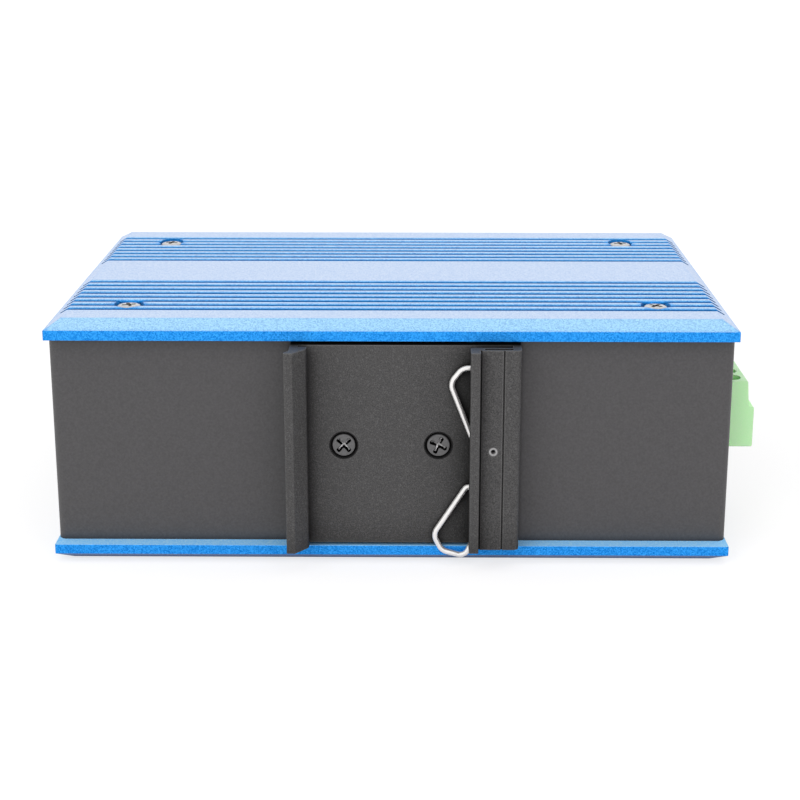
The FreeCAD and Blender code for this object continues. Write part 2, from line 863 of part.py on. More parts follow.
clip = new_body("rail_clip", 0, clip_face_y, middle_z - clip_length / 2)
profile = new_sketch(clip, "XY_Plane")
lip_right = s.lip_left + s.lip_width
cavity_right = s.clip_right - s.channel_side
chamber_left = lip_right + s.line_groove_width + s.channel_wall
chamber_right = cavity_right
line_x = (chamber_left + s.clip_right) / 2
hook_root = s.hook_nose + s.hook_undercut
hook_outer = s.clip_left + s.hook_flare
groove_bed = s.line_groove_depth - s.channel_height
draw(profile, [
    (-s.clip_left, s.clip_plate),
    (-s.clip_left, s.hook_flare_height - s.hook_height),
    (-hook_outer, -s.hook_height, s.clip_edge_round),
    (s.hook_front - hook_outer, -s.hook_height, s.clip_edge_round),
    (-s.hook_nose, s.hook_ramp - s.hook_height, s.clip_side_round),
    (-s.hook_nose, -s.rail_slot),
    (-hook_root, -s.rail_slot),
    (-hook_root, 0),
    (cavity_right, 0),
    (cavity_right, -s.cavity_height),
    (s.lip_left + s.channel_wall, -s.cavity_height),
    (s.lip_left, -s.cavity_height - s.channel_wall),
    (s.lip_left, -s.lip_height, s.clip_edge_round),
    (lip_right, -s.lip_height, s.clip_edge_round),
    (lip_right, groove_bed),
    (lip_right + s.line_groove_width, groove_bed),
    (lip_right + s.line_groove_width, -s.channel_height),
    (line_x, -s.channel_height),
    (line_x, groove_bed),
    (line_x + s.line_groove_width, groove_bed),
    (line_x + s.line_groove_width, -s.channel_height),
    (s.clip_right, -s.channel_height, s.clip_side_round),
    (s.clip_right, s.clip_plate),
])
chamber_low = s.cavity_height + s.channel_wall
chamber_high = s.channel_height - s.channel_wall
draw_box(profile, chamber_left, -chamber_high, chamber_right, -chamber_low)
pad(clip, profile, clip_length)

clip_middle = clip_length / 2
pin_hole = new_sketch(clip, "XZ_Plane", s.channel_height)
draw_circle(pin_hole, s.pin_offset, clip_middle, s.pin_radius)
pocket(clip, pin_hole, s.channel_height + s.pin_bite)

screw_spots = new_sketch(clip, "XZ_Plane")
for x in (-s.clip_screw_half, s.clip_screw_half):
    draw_circle(screw_spots, x, clip_middle, s.screw_radius + s.screw_clearance)
doc.recompute()
countersunk = clip.newObject("PartDesign::Hole", "ClipHoles")
countersunk.Profile = screw_spots
countersunk.DepthType = "ThroughAll"
countersunk.HoleCutType = "Countersink"
countersunk.HoleCutCustomValues = True
countersunk.HoleCutCountersinkAngle = 90
bind(countersunk, "Diameter", (s.screw_radius + s.screw_clearance) * 2)
bind(countersunk, "HoleCutDiameter", (s.clip_head_radius + s.fit_gap) * 2)

forward = turn("x", 90)
screw_group(
    "clip_screws", (-s.clip_screw_half, clip_face_y, middle_z), forward,
    ("countersunk", s.clip_head_radius, 0), s.clip_screw_length,
    (2, s.clip_screw_half * 2, 1, 0),
)
nut_group(
    "clip_nuts", (-s.clip_screw_half, rear_in_y, middle_z), turn("x", -90),
    (2, s.clip_screw_half * 2, 1, 0),
)

roll_pin = new_body("spring_pin", s.pin_offset, clip_face_y - s.channel_height, middle_z)
tube = new_sketch(roll_pin, "XZ_Plane", -(s.channel_height + s.pin_bite))
draw_circle(tube, 0, 0, s.pin_radius)
draw_circle(tube, 0, 0, s.pin_bore)
pad(roll_pin, tube, s.channel_height + s.pin_bite)

# The wire spring lies in one plane and hangs from the pin: a U round the pin, two arms that
# lean out over the rail's edge, and a bent shoulder and a short return at the end of each arm.
pin_height = s.loop_leg_half - s.wire_radius - s.pin_radius - s.fit_gap
arm = [
    (-s.arm_start, s.loop_leg_half, s.arm_start_bend),
    (-s.arm_reach, s.arm_reach_height, s.arm_curl),
    (-s.arm_shoulder, s.arm_shoulder_height, s.arm_curl),
    (s.arm_return, s.arm_top, s.arm_return_bend),
    (s.arm_end, s.arm_end_height),
]
lower_arm = [(point[0], -point[1], *point[2:]) for point in reversed(arm)]
loop = [
    (s.loop_depth, -s.loop_leg_half, s.loop_bend),
    (s.loop_depth, s.loop_leg_half, s.loop_bend),
]
route = []
for u, v, *bend in lower_arm + loop + arm:
    route.append((u - s.pin_in_loop, v - pin_height, *bend))
path = doc.addObject("Sketcher::SketchObject", "SpringPath")
path.Placement = FreeCAD.Placement(FreeCAD.Vector(0, 0, 0), forward)
draw(path, route, closed=False)
doc.recompute()
wire_start = path.Shape.OrderedVertexes[0].Point
start_edge = path.Shape.OrderedEdges[0]
start_direction = start_edge.tangentAt(start_edge.FirstParameter)
rim_of_wire = Part.Wire(Part.makeCircle(s.wire_radius.value, wire_start, start_direction))
spring = doc.addObject("Part::Feature", "rail_spring")
spring.Shape = Part.Wire(path.Shape.OrderedEdges).makePipe(Part.Face(rim_of_wire))
place(
    spring, s.pin_offset, clip_face_y - s.wire_radius - s.wire_lift, middle_z,
    turn("y", s.wire_tilt.value),
)
nodes.append(spring)

# ---------------------------------------------------------------- board and its fixings

board = new_body("main_board")
outline = new_sketch(board, "XY_Plane", board_low)
draw_box(outline, -board_half, board_rear, board_half, board_front)
for x in (-standoff_x, standoff_x):
    for y in (s.standoff_rear_y, standoff_front_y):
        draw_circle(outline, x, y, s.screw_radius + s.screw_clearance)
pad(board, outline, s.board_thickness)

standoffs = new_body("board_standoffs", -standoff_x, s.standoff_rear_y, bay_low, several=True)
hexagon = new_sketch(standoffs, "XY_Plane")
draw(hexagon, [
    (s.standoff_radius * math.cos(math.radians(60 * k)),
     s.standoff_radius * math.sin(math.radians(60 * k)))
    for k in range(6)
])
column = pad(standoffs, hexagon, s.board_height)
stud_section = new_sketch(standoffs, "XY_Plane", -s.standoff_stud)
draw_circle(stud_section, 0, 0, s.screw_radius)
stud = pad(standoffs, stud_section, s.standoff_stud)
tap = new_sketch(standoffs, "XY_Plane", s.board_height)
draw_circle(tap, 0, 0, s.screw_radius + s.fit_gap)
tapped = pocket(standoffs, tap, s.board_screw_length)
board_grid = (2, standoff_x * 2, 2, standoff_front_y - s.standoff_rear_y)
repeat(
    standoffs, [column, stud, tapped], "X_Axis", 2, board_grid[1], ("Y_Axis", 2, board_grid[3]),
)
screw_group(
    "board_screws", (-standoff_x, s.standoff_rear_y, board_top + s.board_head_height), None,
    ("pan", s.board_head_radius, s.board_head_height), s.board_screw_length, board_grid,
)

# ---------------------------------------------------------------- network jacks


def port_outline(sketch, centre_z, up):
    """A network socket with its latch slot; up is 1 with the latch below and -1 above."""
    latch_top = s.port_low - s.latch_drop
    right = [
        (s.tongue_width / 2, latch_top - s.tongue_drop),
        (s.tongue_width / 2, latch_top),
        (s.latch_width / 2, latch_top),
        (s.latch_width / 2, s.port_low),
        (s.port_width / 2, s.port_low),
        (s.port_width / 2, s.port_low + port_height),
    ]
    left = [(-x, z) for x, z in reversed(right)]
    outline_points = [(x, centre_z + up * (z - jack_height / 2)) for x, z in right + left]
    draw(sketch, outline_points)


jack_front = front_y + s.jack_proud
for index in range(int(s.jack_count.value)):
    jack_x = first_jack_x + index * s.jack_pitch
    jack = new_body(f"rj45_jack_{index + 1}", jack_x, jack_front, board_top)
    block = new_sketch(jack, "XZ_Plane")
    draw_box(block, -s.jack_width / 2, 0, s.jack_width / 2, jack_height)
    pad(jack, block, s.jack_depth)
    sockets = new_sketch(jack, "XZ_Plane")
    for up in (1, -1):
        port_outline(sockets, jack_height / 2, up)
    cut = pocket(jack, sockets, s.port_depth)
    cut.Reversed = True

# Spring contacts: thin strips that lean into each socket from the wall opposite the latch
contact_shapes = []
contact_root = s.port_low.value + port_height.value
contact_rear = jack_front.value - s.port_depth.value + s.contact_setback.value
for jack_index in range(int(s.jack_count.value)):
    jack_x = first_jack_x.value + jack_index * s.jack_pitch.value
    for index in range(int(s.contact_count.value)):
        offset = (index - (s.contact_count.value - 1) / 2) * s.contact_pitch.value
        for up in (1, -1):
            middle = board_top.value + jack_height.value / 2
            root_z = middle + up * (contact_root - jack_height.value / 2)
            tip_z = root_z - up * s.contact_sag.value
            strip = s.contact_thickness.value * up
            corners = [
                FreeCAD.Vector(0, contact_rear, tip_z),
                FreeCAD.Vector(0, contact_rear + s.contact_length.value, root_z - strip),
                FreeCAD.Vector(0, contact_rear + s.contact_length.value, root_z),
                FreeCAD.Vector(0, contact_rear, tip_z + strip),
            ]
            side = Part.Face(Part.makePolygon(corners + corners[:1]))
            side.translate(FreeCAD.Vector(jack_x + offset - s.contact_width.value / 2, 0, 0))
            contact_shapes.append(side.extrude(FreeCAD.Vector(s.contact_width.value, 0, 0)))
contacts = doc.addObject("Part::Feature", "jack_contacts")
contacts.Shape = Part.makeCompound(contact_shapes)
place(contacts, as_size(0), as_size(0), 0)
nodes.append(contacts)

# ---------------------------------------------------------------- module cages

for index in range(int(s.cage_count.value)):
    cage_x = first_cage_x + index * s.cage_pitch
    cage = new_body(f"sfp_cage_{index + 1}", cage_x, jack_front, board_top)
    outside = new_sketch(cage, "XZ_Plane")
    draw_box(outside, -s.cage_width / 2, 0, s.cage_width / 2, s.cage_height)
    pad(cage, outside, s.cage_depth)
    inside = new_sketch(cage, "XZ_Plane")
    reach = s.cage_width / 2 - s.cage_wall
    draw_box(inside, -reach, s.cage_wall, reach, s.cage_height - s.cage_wall)
    cut = pocket(cage, inside, s.cage_depth - s.cage_wall)
    cut.Reversed = True

socket_y = jack_front - s.cage_depth + s.cage_wall
connectors = new_body(
    "sfp_connectors", first_cage_x, socket_y, board_top + s.cage_wall, several=True,
)
body_section = new_sketch(connectors, "XY_Plane")
draw_box(body_section, -s.socket_width / 2, 0, s.socket_width / 2, s.socket_depth)
blocks = pad(connectors, body_section, s.socket_height)
card_slot = new_sketch(connectors, "XZ_Plane", -s.socket_depth)
draw_box(
    card_slot, -s.card_slot_width / 2, s.card_slot_low,
    s.card_slot_width / 2, s.card_slot_low + s.card_slot_height,
)
slots = pocket(connectors, card_slot, s.card_slot_depth)
slots.Reversed = True
repeat(connectors, [blocks, slots], "X_Axis", s.cage_count, s.cage_pitch)

# ---------------------------------------------------------------- status lights

pipes = new_body("led_light_pipes", first_light_x, 0, board_top, several=True)
bends = new_sketch(pipes, "YZ_Plane")
diodes = new_body("status_leds", first_light_x, 0, board_top, several=True)
seats = new_sketch(diodes, "XY_Plane")
tip_y = front_y + s.cutout_gap
for row in range(int(s.light_rows.value)):
    z = s.light_first_height + row * light_pitch
    back_y = panel_in_y - s.light_setback - (row + 1) * s.light_stagger
    foot_z = s.diode_height + s.cutout_gap
    draw(bends, [
        (back_y, foot_z),
        (back_y + s.light_width, foot_z),
        (back_y + s.light_width, z - light_half),
        (tip_y, z - light_half),
        (tip_y, z + light_half),
        (back_y, z + light_half),
    ])
    draw_box(seats, -light_half, back_y, light_half, back_y + s.light_width)
guides = pad(pipes, bends, s.light_width, symmetric=True)
repeat(pipes, [guides], "X_Axis", 2, s.light_spacing_x)
lamps = pad(diodes, seats, s.diode_height)
repeat(diodes, [lamps], "X_Axis", 2, s.light_spacing_x)

# ---------------------------------------------------------------- power terminal

first_pole_y = s.plug_near + s.plug_side + s.pole_pitch / 2
nose_top = plug_low + s.nose_low + s.nose_height
nose_back = header_face_x - s.nose_length
body_back = header_face_x + s.panel_gap
step_z = plug_low + s.plug_step_height

plug = new_body("terminal_plug", 0, plug_middle_y, 0)
plug_section = new_sketch(plug, "XZ_Plane")
draw(plug_section, [
    (nose_back, plug_low + s.nose_low),
    (body_back, plug_low + s.nose_low),
    (body_back, plug_low),
    (plug_face_x, plug_low, s.plug_round),
    (plug_face_x, step_z, s.plug_round),
    (plug_face_x - s.plug_step, step_z),
    (plug_face_x - s.plug_step - s.plug_lean, plug_top, s.plug_round),
    (body_back, plug_top, s.plug_round),
    (body_back, nose_top),
    (nose_back, nose_top),
])
pad(plug, plug_section, plug_width, symmetric=True)
first_y = first_pole_y - plug_middle_y
well_x = plug_face_x - s.plug_step - s.plug_lean - s.driver_well_wall - s.driver_well_radius
entry_z = plug_low + s.plug_step_height / 2
entry = new_sketch(plug, "YZ_Plane", plug_face_x)
draw_box(
    entry, first_y - s.wire_entry / 2, entry_z - s.wire_entry / 2,
    first_y + s.wire_entry / 2, entry_z + s.wire_entry / 2,
)
entries = pocket(plug, entry, s.wire_entry_depth)
well = new_sketch(plug, "XY_Plane", plug_top)
draw_circle(well, well_x, first_y, s.driver_well_radius)
wells = pocket(plug, well, s.driver_well_depth + s.terminal_screw_height)
pin_z = plug_low + s.nose_low + s.nose_height / 2
pin_slot = s.pin_width / 2 + s.screw_clearance
receiver = new_sketch(plug, "YZ_Plane", nose_back)
draw_box(receiver, first_y - pin_slot, pin_z - pin_slot, first_y + pin_slot, pin_z + pin_slot)
receivers = pocket(plug, receiver, s.nose_length)
receivers.Reversed = True
repeat(plug, [entries, wells, receivers], "Y_Axis", s.poles, s.pole_pitch)

terminal_screws = new_body(
    "terminal_screws", well_x, first_pole_y, plug_top - s.driver_well_depth, several=True,
)
slotted = new_sketch(terminal_screws, "XY_Plane", -s.terminal_screw_height)
draw_circle(slotted, 0, 0, s.terminal_screw_radius)
heads = pad(terminal_screws, slotted, s.terminal_screw_height)
slit = new_sketch(terminal_screws, "XY_Plane")
draw_box(
    slit, -s.driver_well_radius, -s.slit_width / 2, s.driver_well_radius, s.slit_width / 2,
)
slits = pocket(terminal_screws, slit, s.terminal_screw_height / 2)
repeat(terminal_screws, [heads, slits], "Y_Axis", s.poles, s.pole_pitch)

clamp_x = plug_face_x - s.wire_entry_depth
clamps = new_body("terminal_clamps", clamp_x, first_pole_y, entry_z, several=True)
cage_section = new_sketch(clamps, "YZ_Plane")
grip = s.wire_entry / 2 - s.fit_gap
bite = grip - s.clamp_wall
draw_box(cage_section, -grip, -grip, grip, grip)
draw_box(cage_section, -bite, -bite, bite, bite)
grips = pad(clamps, cage_section, s.clamp_width)
repeat(clamps, [grips], "Y_Axis", s.poles, s.pole_pitch)

header = new_body("terminal_header", 0, plug_middle_y, board_top)
header_half = plug_width / 2 + s.header_wall
header_section = new_sketch(header, "XY_Plane")
draw_box(header_section, header_back_x, -header_half, header_face_x, header_half)
pad(header, header_section, s.header_height)
shroud = new_sketch(header, "YZ_Plane", header_face_x)
gap = s.panel_gap
draw_box(
    shroud, -plug_width / 2 - gap, s.plug_lift + s.nose_low - gap,
    plug_width / 2 + gap, s.plug_lift + s.nose_low + s.nose_height + gap,
)
pocket(header, shroud, s.header_depth - s.header_back)
pin_holes = new_sketch(header, "YZ_Plane")
pin_rise = s.plug_lift + s.nose_low + s.nose_height / 2
pin_half = s.pin_width / 2
draw_box(
    pin_holes, first_y - pin_half, pin_rise - pin_half, first_y + pin_half, pin_rise + pin_half,
)
pin_cut = pocket(header, pin_holes)
repeat(header, [pin_cut], "Y_Axis", s.poles, s.pole_pitch)

pins = new_body("header_pins", 0, first_pole_y, board_top, several=True)
pin_path = new_sketch(pins, "XZ_Plane")
pin_back = header_back_x - s.pin_width
draw(pin_path, [
    (pin_back, -s.board_thickness - s.pin_tail),
    (header_back_x, -s.board_thickness - s.pin_tail),
    (header_back_x, pin_rise - pin_half),
    (nose_back + s.pin_reach, pin_rise - pin_half),
    (nose_back + s.pin_reach, pin_rise + pin_half),
    (pin_back, pin_rise + pin_half, s.pin_bend),
])
bent = pad(pins, pin_path, s.pin_width, symmetric=True)
repeat(pins, [bent], "Y_Axis", s.poles, s.pole_pitch)

board_pin_holes = new_sketch(board, "XY_Plane", board_top)
draw_box(
    board_pin_holes, pin_back - s.fit_gap, first_pole_y - pin_half - s.fit_gap,
    header_back_x + s.fit_gap, first_pole_y + pin_half + s.fit_gap,
)
pin_row = pocket(board, board_pin_holes, s.board_thickness)
repeat(board, [pin_row], "Y_Axis", s.poles, s.pole_pitch)

# ---------------------------------------------------------------- parts on the board


def block_part(label, x, y, z, length, width, height):
    """A plain package or pad: a Part box centred on a point of the case."""
    box = doc.addObject("Part::Box", label)
    bind(box, "Length", length)
    bind(box, "Width", width)
    bind(box, "Height", height)
    place(box, as_size(x) - as_size(length) / 2, as_size(y) - as_size(width) / 2, z)
    nodes.append(box)
    return box


chip_low = board_low - s.chip_height
pad_low = chip_low - s.pad_height
block_part("switch_chip", s.chip_x, s.chip_y, chip_low, s.chip_side, s.chip_side, s.chip_height)
block_part("thermal_pad", s.chip_x, s.chip_y, pad_low, s.chip_side, s.chip_side, s.pad_height)
block_part(
    "heat_block", s.chip_x, s.chip_y, bay_low, s.block_side, s.block_side, pad_low - bay_low,
)

# The power parts stand between the terminal's header and the board's rear edge
part_low_y = board_rear + s.part_margin
power_x = header_back_x - s.header_part_gap - s.relay_length / 2
relay_y = part_low_y + s.relay_width / 2
inductor_y = part_low_y + s.relay_width + s.part_gap + s.inductor_side / 2
transformer_x = power_x - s.relay_length / 2 - s.part_gap - s.transformer_side / 2
block_part(
    "alarm_relay", power_x, relay_y, board_top, s.relay_length, s.relay_width, s.relay_height,
)
block_part(
    "power_inductor", power_x, inductor_y, board_top,
    s.inductor_side, s.inductor_side, s.inductor_height,
)
block_part(
    "isolation_transformer", transformer_x, part_low_y + s.transformer_side / 2, board_top,
    s.transformer_side, s.transformer_side, s.transformer_height,
)

capacitors = new_body(
    "capacitors", s.capacitor_x, s.capacitor_y, board_top, several=True,
)
can = new_sketch(capacitors, "XY_Plane")
draw_circle(can, 0, 0, s.capacitor_radius)
cans = pad(capacitors, can, s.capacitor_height)
repeat(capacitors, [cans], "Y_Axis", 2, s.capacitor_spacing)

# ---------------------------------------------------------------- ground screw

outward = turn("y", 90)
washer_x = end_x + s.ground_washer
screw_group(
    "ground_screw", (washer_x + s.ground_head_height, ground_y, middle_z), outward,
    ("pan", s.ground_head_radius, s.ground_head_height),
    s.ground_screw_length + s.ground_head_height, (1, 0, 1, 0),
)
washer = new_body("ground_washer", end_x, ground_y, middle_z, outward)
ring = new_sketch(washer, "XY_Plane")
draw_circle(ring, 0, 0, s.ground_washer_radius)
draw_circle(ring, 0, 0, s.screw_radius + s.screw_clearance)
pad(washer, ring, s.ground_washer)
nut_group("ground_nut", (wall_in_x, ground_y, middle_z), turn("y", -90), (1, 0, 1, 0))

# ---------------------------------------------------------------- checks and export

doc.recompute()
faults = []
for item in doc.Objects:
    if "Invalid" in item.State or "Error" in item.State:
        faults.append(f"{item.Label}: {item.State}")
    if item.TypeId == "PartDesign::Pocket":
        if item.Shape.Volume >= item.BaseFeature.Shape.Volume - TOLERANCE:
            faults.append(f"{item.Label} cuts nothing")
for node in nodes:
    if node.Shape.isNull() or not node.Shape.isValid() or not node.Shape.Solids:
        faults.append(f"{node.Label} has no valid solid")
if faults:
    raise RuntimeError("; ".join(faults))

os.makedirs("parts", exist_ok=True)
for node in nodes:
    node.Shape.exportStep(f"parts/{node.Label}.step")
print(f"{len(nodes)} nodes written")
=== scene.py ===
import json
import math

import bmesh
import bpy
from mathutils import Matrix, Vector


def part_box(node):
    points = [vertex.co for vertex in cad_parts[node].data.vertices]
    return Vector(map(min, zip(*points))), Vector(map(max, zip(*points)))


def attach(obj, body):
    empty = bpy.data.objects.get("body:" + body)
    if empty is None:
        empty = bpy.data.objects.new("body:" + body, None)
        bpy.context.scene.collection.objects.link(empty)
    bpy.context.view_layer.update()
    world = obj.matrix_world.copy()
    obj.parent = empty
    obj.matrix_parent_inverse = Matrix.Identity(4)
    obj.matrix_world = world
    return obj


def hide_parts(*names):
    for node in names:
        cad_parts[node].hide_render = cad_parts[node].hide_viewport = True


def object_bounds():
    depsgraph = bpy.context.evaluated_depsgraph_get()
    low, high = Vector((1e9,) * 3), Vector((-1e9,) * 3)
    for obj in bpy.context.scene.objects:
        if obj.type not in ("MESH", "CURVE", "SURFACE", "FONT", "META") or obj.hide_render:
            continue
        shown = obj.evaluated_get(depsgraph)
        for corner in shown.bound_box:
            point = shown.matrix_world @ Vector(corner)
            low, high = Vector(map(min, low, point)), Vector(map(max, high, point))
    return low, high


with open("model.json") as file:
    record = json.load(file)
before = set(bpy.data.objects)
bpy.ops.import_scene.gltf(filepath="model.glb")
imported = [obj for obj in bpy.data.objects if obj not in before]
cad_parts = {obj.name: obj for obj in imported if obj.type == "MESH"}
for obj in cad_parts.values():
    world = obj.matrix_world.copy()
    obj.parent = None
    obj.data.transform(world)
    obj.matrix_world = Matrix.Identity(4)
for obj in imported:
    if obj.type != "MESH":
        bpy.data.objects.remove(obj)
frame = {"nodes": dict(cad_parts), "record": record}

# A DIN rail Ethernet switch on a white floor, seen from behind and a little above. The CAD solids
# get procedural finishes, and detailed screws stand for the solids of the clip's and covers' screws.
# Lengths are in metres and angles in degrees.

CAD_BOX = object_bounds()
COVERS = ("finned_cover_upper", "finned_cover_lower")

# Camera: the distance is from the covers' near rim, the lens is in millimetres, and the shift is
# a share of the picture's width
CAMERA_DISTANCE = 0.325
CAMERA_HEIGHT = 0.1401
CAMERA_SIDE = 0.00185
CAMERA_PITCH = 15.35
CAMERA_YAW = 0.54
CAMERA_LENS = 73.07
CAMERA_SHIFT = -0.08

# Studio: for the camera, the floor's share of pure white rises from SEEN at NEAR to 1 at FAR
WHITE = (1.0, 1.0, 1.0, 1.0)
PAPER = (0.9, 0.9, 0.9, 1.0)
FLOOR_SIZE = 40.0
FLOOR_GAP = 0.0001
FLOOR_WHITE = 1.18
FLOOR_SEEN = 0.6
FLOOR_NEAR = 0.12
FLOOR_FAR = 0.35
FLOOR_MIRRORED = 0.06
WORLD_FILL = 0.62

# Lamps: name, place, size, power and colour
LAMPS = (
    ("overhead", (0.1, -0.1, 1.2), 1.2, 3.5, (1.0, 1.0, 1.0)),
    ("front_left", (-0.8, -1.1, 0.9), 1.0, 9.0, (1.0, 1.0, 1.0)),
    ("front_right", (0.5, -1.2, 0.8), 1.0, 4.0, (1.0, 0.84, 0.98)),
)

# Blasted blue finish
BLAST_GRAIN = 0.0003
BLAST_DEPTH = 0.00008
BLAST_EDGE = 0.0002
SPOT_SIZE = 0.00023
CLOUD_SIZE = 0.018
GROOVE_SHADE_REACH = 0.0024
FIN_REACH = 0.0013
FACE_MARGIN = 0.00005
DYE_COLOURS = ((0.006, 0.20, 0.66), (0.045, 0.41, 1.0))
# Painted light for the inner face's ledge
LEDGE_LIT_COLOURS = ((0.22, 0.58, 1.0), (0.38, 0.72, 1.0))
# Painted shade for the grooves
GROOVE_SHADE_COLOUR = (0.004, 0.055, 0.17)
# Painted shade for faces that look downwards
UNDERSIDE_SHADE_COLOUR = (0.10, 0.15, 0.29, 1.0)
UNDERSIDE_SHADE_SHARE = 0.7
DYE_SHARE = 0.7
CYAN_SHEEN = (0.70, 0.98, 0.98, 1.0)
CYAN_SHARE = 0.59
LILAC_SHEEN = (0.97, 0.82, 0.94, 1.0)
LILAC_SHARE = 0.42
SHEEN_ROUGHNESS = 0.5

# Other finishes
SATIN_EDGE = 0.00015
SATIN_CLOUD = 0.02
# Width of the painted edge highlight
EDGE_HIGHLIGHT_WIDTH = 0.0005
SHELL_THICKNESS = 0.0005

# Screws. Outlines are (radius, height) points, with the head's top at height zero. A recess is its
# reach, half its arms' width at the tips and at the roots, and its depth.
SCREW_SIDES = 48
SHANK_RADIUS = 0.0015
THREAD_PITCH = 0.0005
THREAD_DEPTH = 0.0003
SMOOTH_ANGLE = 35.0
CLIP_HEAD = 0.0029
CLIP_TURNS = (45.0, 65.0)
CLIP_CROWN = (0.00234, -0.00004)
CLIP_CONE = ((0.00238, -0.00010), (0.00246, -0.00046), (0.00150, -0.00142))
CLIP_THREAD_TOP = -0.0016
CLIP_RECESS = (0.00192, 0.00047, 0.00035, 0.0017)
# Painted shade: a dark lining ring in the clip's countersinks
CLIP_SHADE_LINING = ((0.00242, -0.00044), (0.00290, -0.00001), (0.00308, 0.00002))
COVER_HEAD = 0.00275
COVER_TURNS = (20.0, 52.0, 75.0, 8.0)
COVER_CROWN = (0.00185, -0.00003)
COVER_SIDE = (
    (0.00235, -0.00014),
    (0.00260, -0.00034),
    (0.00272, -0.00066),
    (0.00275, -0.00110),
    (0.00275, -0.00170),
    (0.00150, -0.00170),
)
COVER_THREAD_TOP = -0.0018
COVER_RECESS = (0.00155, 0.00042, 0.00036, 0.0013)

# A recess's outline at three levels, as shares of its depth, reach, tip width and root width
RECESS_LEVELS = ((0.0, 1.0, 1.0, 1.0), (-0.45, 0.86, 0.80, 0.86), (-0.80, 0.50, 0.55, 0.60))

# The screws' material slots; each arm of a recess has six sides, of which the second is its tip
# Painted shade: the wall slot makes the recess walls and the clip's lining ring dark.
HEAD_SLOT, WALL_SHADE_SLOT, WORN_SLOT = 0, 1, 2
ARM_SLOTS = (WALL_SHADE_SLOT, WORN_SLOT, WALL_SHADE_SLOT, WALL_SHADE_SLOT, WALL_SHADE_SLOT, WALL_SHADE_SLOT)


# ---------------------------------------------------------------- node helpers

def new_material(name):
    """An empty node material and its output node."""
    material = bpy.data.materials.new(name)
    material.use_nodes = True
    material.node_tree.nodes.clear()
    return material, add(material, "OutputMaterial")


def add(owner, kind, inputs=None, **settings):
    """A node of a material or world: inputs are values or other sockets, by name or number."""
    node = owner.node_tree.nodes.new("ShaderNode" + kind)
    for key, value in settings.items():
        setattr(node, key, value)
    for key, value in (inputs or {}).items():
        if isinstance(value, bpy.types.NodeSocket):
            owner.node_tree.links.new(value, node.inputs[key])
        else:
            node.inputs[key].default_value = value
    return node


def shader(owner, kind, inputs):
    """The output of a shader node."""
    return add(owner, kind, inputs).outputs[0]


def layer(owner, share, lower, upper):
    """An upper shader over a lower one, by its share."""
    return shader(owner, "MixShader", {0: share, 1: lower, 2: upper})


def finish_with(owner, output, surface):
    owner.node_tree.links.new(surface, output.inputs["Surface"])
    return owner


def calculate(owner, operation, first, second=0.0):
    """The result of a Math node."""
    return add(owner, "Math", {0: first, 1: second}, operation=operation).outputs[0]


def component(material, vector, axis):
    """One component of a vector."""
    return add(material, "SeparateXYZ", {0: vector}).outputs[axis]


def place_of(material):
    """Object coordinates, which are metres in the object's own frame."""
    return add(material, "TexCoord").outputs["Object"]


def noise(material, size, detail=2.0, stretch=None):
    """Noise whose features are about `size` metres across, longer along a stretched axis."""
    vector = place_of(material)
    if stretch:
        vector = add(material, "Mapping", {"Vector": vector, "Scale": stretch}).outputs[0]
    inputs = {"Vector": vector, "Scale": 1 / size, "Detail": detail}
    return add(material, "TexNoise", inputs).outputs["Fac"]


def speckle(material, size):
    """Random brightness, from 0 to 1, in cells about `size` metres across."""
    cells = add(material, "TexVoronoi", {"Vector": place_of(material), "Scale": 1 / size})
    return add(material, "SeparateColor", {0: cells.outputs["Color"]}).outputs[0]


def ramp(material, factor, low, high, from_low=0.3, from_high=0.7):
    """Maps a factor onto a range of numbers."""
    inputs = {
        "Value": factor,
        "From Min": from_low,
        "From Max": from_high,
        "To Min": low,
        "To Max": high,
    }
    return add(material, "MapRange", inputs).outputs["Result"]


def blend_colours(material, factor, first, second):
    """A colour between two colours or colour sockets."""
    mix = add(material, "Mix", {"Factor": factor}, data_type="RGBA")
    for socket, colour in ((mix.inputs[6], first), (mix.inputs[7], second)):
        if isinstance(colour, bpy.types.NodeSocket):
            material.node_tree.links.new(colour, socket)
        else:
            socket.default_value = (*colour, 1.0)
    return mix.outputs[2]


def bump(material, height, depth, strength=1.0, normal=None):
    inputs = {"Height": height, "Distance": depth, "Strength": strength}
    if normal is not None:
        inputs["Normal"] = normal
    return add(material, "Bump", inputs).outputs["Normal"]


def rounded_edges(material, radius):
    """The normal of slightly softened edges."""
    return add(material, "Bevel", {"Radius": radius}, samples=4).outputs["Normal"]


def openness(material, distance, own=False, inside=False):
    """1 in the open, less in grooves and corners narrower than a distance, or inside in thin fins."""
    settings = {"samples": 8, "only_local": own, "inside": inside}
    return add(material, "AmbientOcclusion", {"Distance": distance}, **settings).outputs["AO"]


# ------------------------------------------------------------------- materials

def inner_face(material):
    """1 on the lower cover's flat inner face, and 0 elsewhere."""
    height = component(material, place_of(material), "Z")
    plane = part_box("finned_cover_lower")[1][2]
    return add(material, "Math", {0: height, 1: plane, 2: FACE_MARGIN}, operation="COMPARE").outputs[0]


